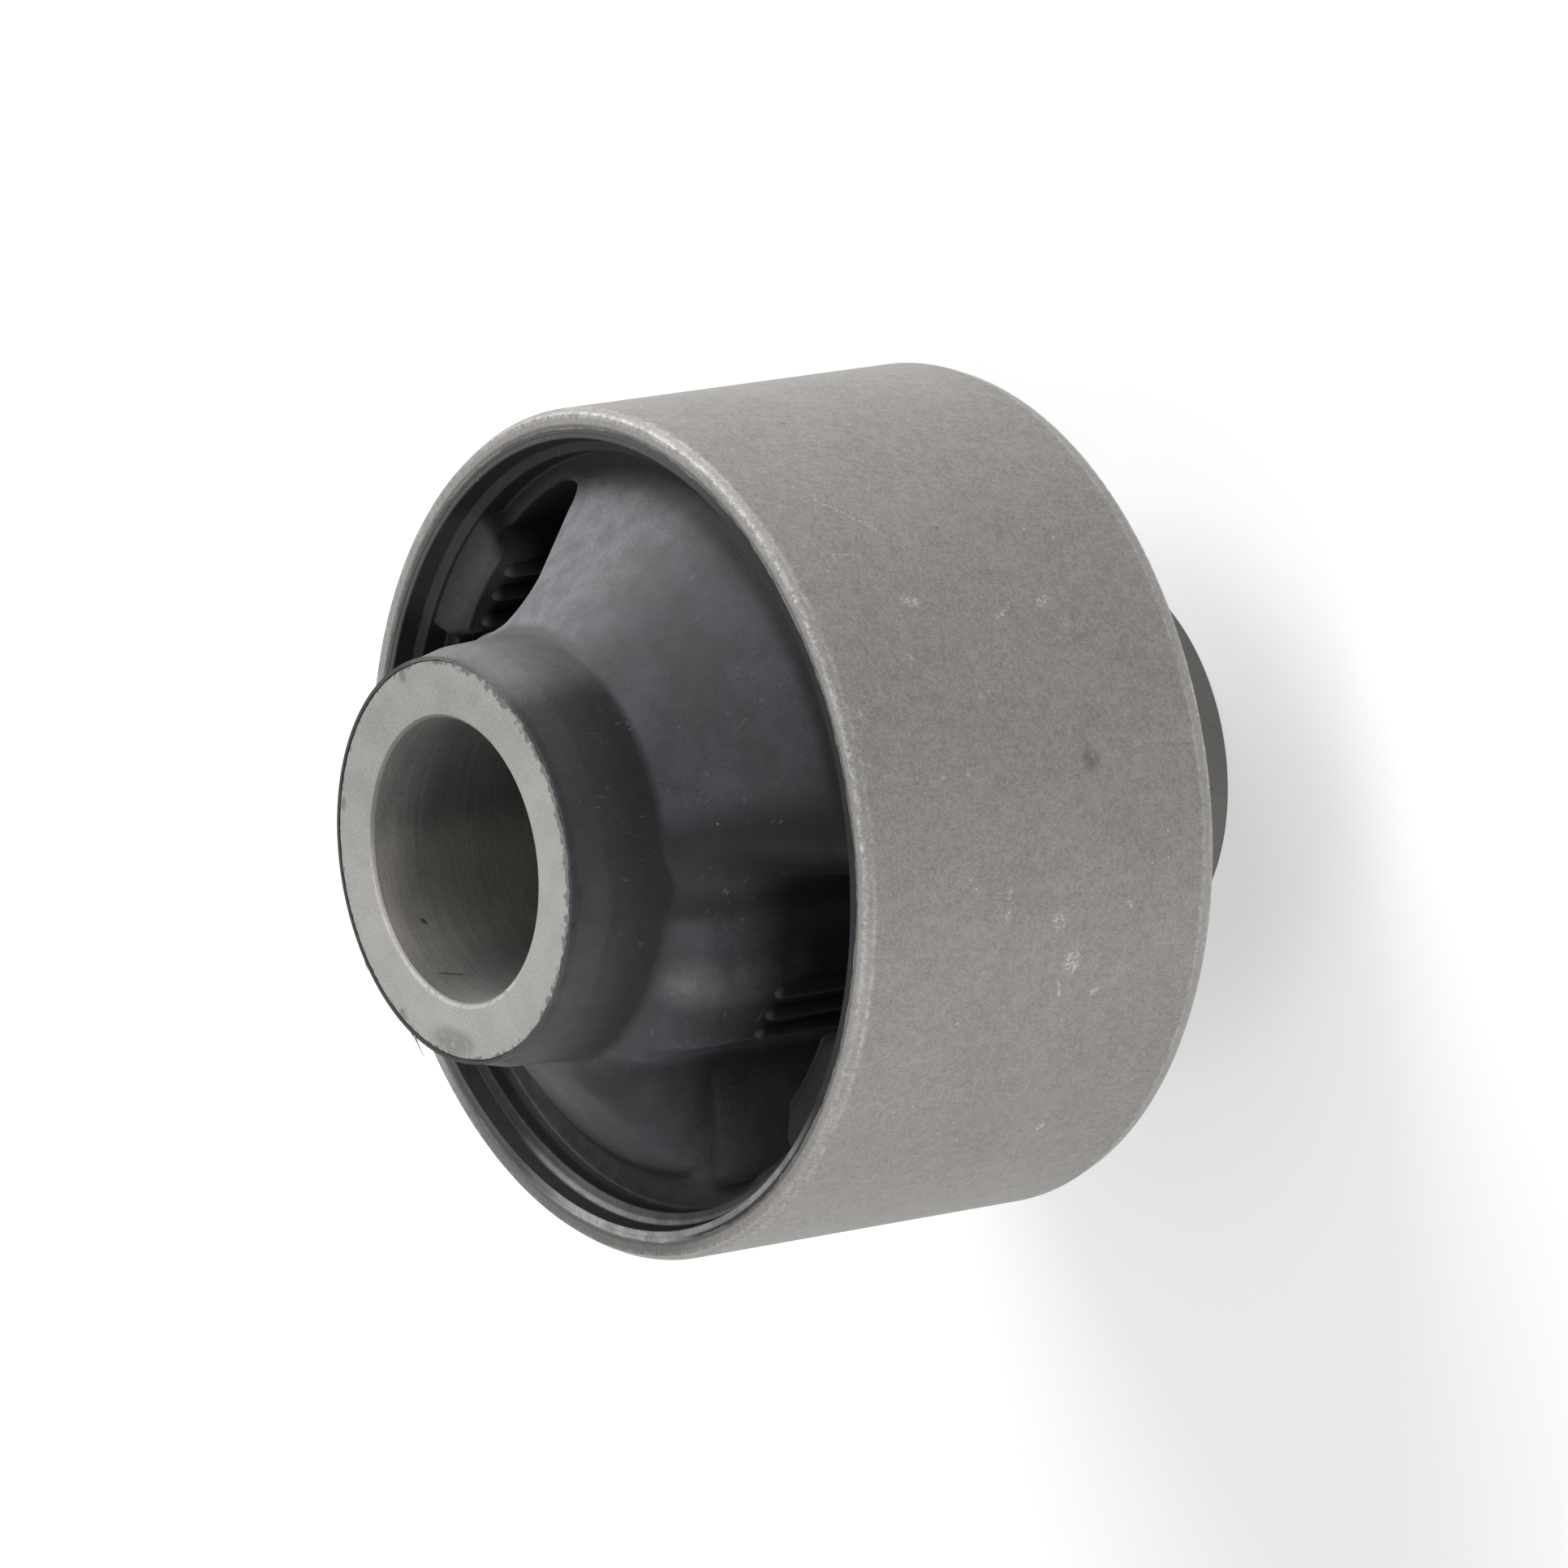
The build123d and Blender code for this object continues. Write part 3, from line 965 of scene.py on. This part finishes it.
def rubber_finish():
    """Matt moulded rubber with a grey bloom, chalky patches with painted sheen, dust and small scratches,
    and painted light and shade.
    """
    made = Surface("rubber_finish", roughness=(0.5, 0.68), specular=0.22)
    tree, places = made.tree, made.places
    grain = noise(tree, places, 4.6, 2.0)
    cloud = noise(tree, places, 0.2, 5.0)
    smear = noise(tree, places, 0.7, 6.0)
    blotchy = step(tree, smear, 0.3, 0.65, 0.78, 1.0)
    powder_and_sheen = chalk_and_sheen(made, smear)
    dust = flecks(tree, places, 0.42, 0.06, 0.3)
    drawn_out = {"Vector": places, "Rotation": (0.4, 0.7, 0.3), "Scale": (3.0, 0.35, 1.2)}
    streaks = noise(tree, add_node(tree, "ShaderNodeMapping", drawn_out).outputs[0], 1.4, 3.0)
    in_places = step(tree, noise(tree, places, 0.3, 2.0), 0.5, 0.64)
    streaks = product(tree, step(tree, streaks, 0.62, 0.72), in_places)
    # Painted light on the wall of the void beside -38 degrees
    wall_painted_light = product(tree, made.patch(-38, 21.5, 10.0, 7.2, 1.25, 0.4), made.rise(-1.0, 6.0))
    deep = made.rise(lower_ledge, lower_ledge - 1.0)

    tone = total(
        tree,
        step(tree, grain, 0.3, 0.7, 0.88, 1.12),
        step(tree, smear, 0.3, 0.7, -0.08, 0.1),
        # painted shade: darker towards -Y, on the lower web
        product(tree, step(tree, made.y, 6.0, -8.0), -0.1),
    )
    bloomed = tinted(tree, (0.043, 0.046, 0.05), step(tree, cloud, 0.38, 0.68), (0.058, 0.062, 0.069))
    colour = layered(tree, bloomed, [
        *web_layers(made, wall_painted_light, deep),
        skin_layer(made),
        *mouth_layers(made, wall_painted_light, deep, blotchy),
        (powder_and_sheen, 0.6, (0.25, 0.255, 0.265)),
        (streaks, 0.4, (0.16, 0.165, 0.175)),
        (dust, 0.5, (0.4, 0.4, 0.4)),
    ])
    roughness_share = total(tree, grain, product(tree, powder_and_sheen, 0.5))
    return made.finish(colour, tone, roughness_share, grain, 0.02)


# Camera at the photograph's place
camera_azimuth = 140.12
camera_elevation = 35.15
camera_roll = 98.84
camera_distance = 1031.36
camera_aside = -0.17
camera_above = 1.72
camera_lens = 336.8

# Soft lights: name, place along the camera's right, up and back in metres, size and power
soft_lights = (
    ("key", (-0.6, 0.75, 0.1), 0.7, 11.0),
    ("left_low", (-0.65, -0.75, 0.25), 0.6, 2.5),
    ("right_low", (0.55, -0.6, 0.55), 0.7, 9.5),
)
world_light = 0.22
floor_half = 3000
floor_grey = 0.7
floor_glow = 0.5


def camera_basis(azimuth, elevation, roll):
    """The camera's right, up and back."""
    a, e, r = math.radians(azimuth), math.radians(elevation), math.radians(roll)
    back = Vector((math.sin(a) * math.cos(e), -math.cos(a) * math.cos(e), math.sin(e)))
    level_up = (Vector((0, 0, 1)) - back * back.z).normalized()
    level_right = level_up.cross(back)
    up = level_up * math.cos(r) + level_right * math.sin(r)
    return up.cross(back), up, back


view_right, view_up, view_back = camera_basis(camera_azimuth, camera_elevation, camera_roll)


def make_camera():
    data = bpy.data.cameras.new("photo_camera")
    data.lens = camera_lens
    data.sensor_width = 36
    data.clip_start = 0.05
    data.clip_end = 10
    camera = bpy.data.objects.new("photo_camera", data)
    place = view_back * camera_distance + view_right * camera_aside + view_up * camera_above
    turn = Matrix((view_right, view_up, view_back)).transposed().to_4x4()
    camera.matrix_world = Matrix.Translation(place * MM) @ turn
    bpy.context.scene.collection.objects.link(camera)
    bpy.context.scene.camera = camera


def make_light(name, along, size, power):
    """Square soft light, aimed at the bush."""
    data = bpy.data.lights.new(name, "AREA")
    data.shape = "SQUARE"
    data.size = size
    data.energy = power
    light = bpy.data.objects.new(name, data)
    right, up, back = along
    place = view_right * right + view_up * up + view_back * back
    light.location = place
    light.rotation_mode = "QUATERNION"
    light.rotation_quaternion = place.to_track_quat("Z", "Y")
    bpy.context.scene.collection.objects.link(light)


def make_world():
    """White surroundings, which look brighter than the light they give."""
    world = bpy.data.worlds.new("studio")
    bpy.context.scene.world = world
    world.use_nodes = True
    tree = world.node_tree
    background = tree.nodes["Background"]
    path = add_node(tree, "ShaderNodeLightPath").outputs
    seen = highest(tree, path["Is Camera Ray"], path["Is Transmission Ray"], path["Is Glossy Ray"])
    background.inputs["Color"].default_value = (1, 1, 1, 1)
    tree.links.new(step(tree, seen, 0.0, 1.0, world_light, 1.0), background.inputs["Strength"])


def make_floor():
    """Pale floor under the standing bush. The camera sees it white, with the bush's shadow."""
    signs = ((-1, -1), (1, -1), (1, 1), (-1, 1))
    corners = [(x * floor_half, y * floor_half, -half_inner) for x, y in signs]
    floor = make_object("floor", corners, [(0, 1, 2, 3)])
    material = bpy.data.materials.new("floor_paper")
    material.use_nodes = True
    tree = material.node_tree
    shader = tree.nodes["Principled BSDF"]
    shader.inputs["Base Color"].default_value = (floor_grey, floor_grey, floor_grey, 1)
    shader.inputs["Roughness"].default_value = 1.0
    shader.inputs["Specular IOR Level"].default_value = 0.0
    shader.inputs["Emission Color"].default_value = (1, 1, 1, 1)
    path = add_node(tree, "ShaderNodeLightPath").outputs
    seen = highest(tree, path["Is Camera Ray"], path["Is Glossy Ray"])
    tree.links.new(product(tree, seen, floor_glow), shader.inputs["Emission Strength"])
    floor.data.materials.append(material)


make_camera()
for soft_light in soft_lights:
    make_light(*soft_light)
make_world()
make_floor()

outer_steel = outer_steel_finish()
inner_steel = inner_steel_finish()
rubber = rubber_finish()

for piece, node, finish, slot in (
    (make_outer_sleeve(), "outer_sleeve", outer_steel, "outer_steel"),
    (make_inner_sleeve(), "inner_sleeve", inner_steel, "inner_steel"),
    (make_rubber(), "rubber_body", rubber, "rubber"),
    (make_ribs(), None, rubber, "rubber"),
    (make_rim_flash(), None, rubber, "rubber"),
    (make_end_flash(), None, rubber, "rubber"),
    (make_hairs(), None, rubber, "rubber"),
):
    piece.data.materials.append(finish)
    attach(piece, "root")
    if node:
        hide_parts(node)

bpy.context.scene.view_settings.view_transform = "Standard"
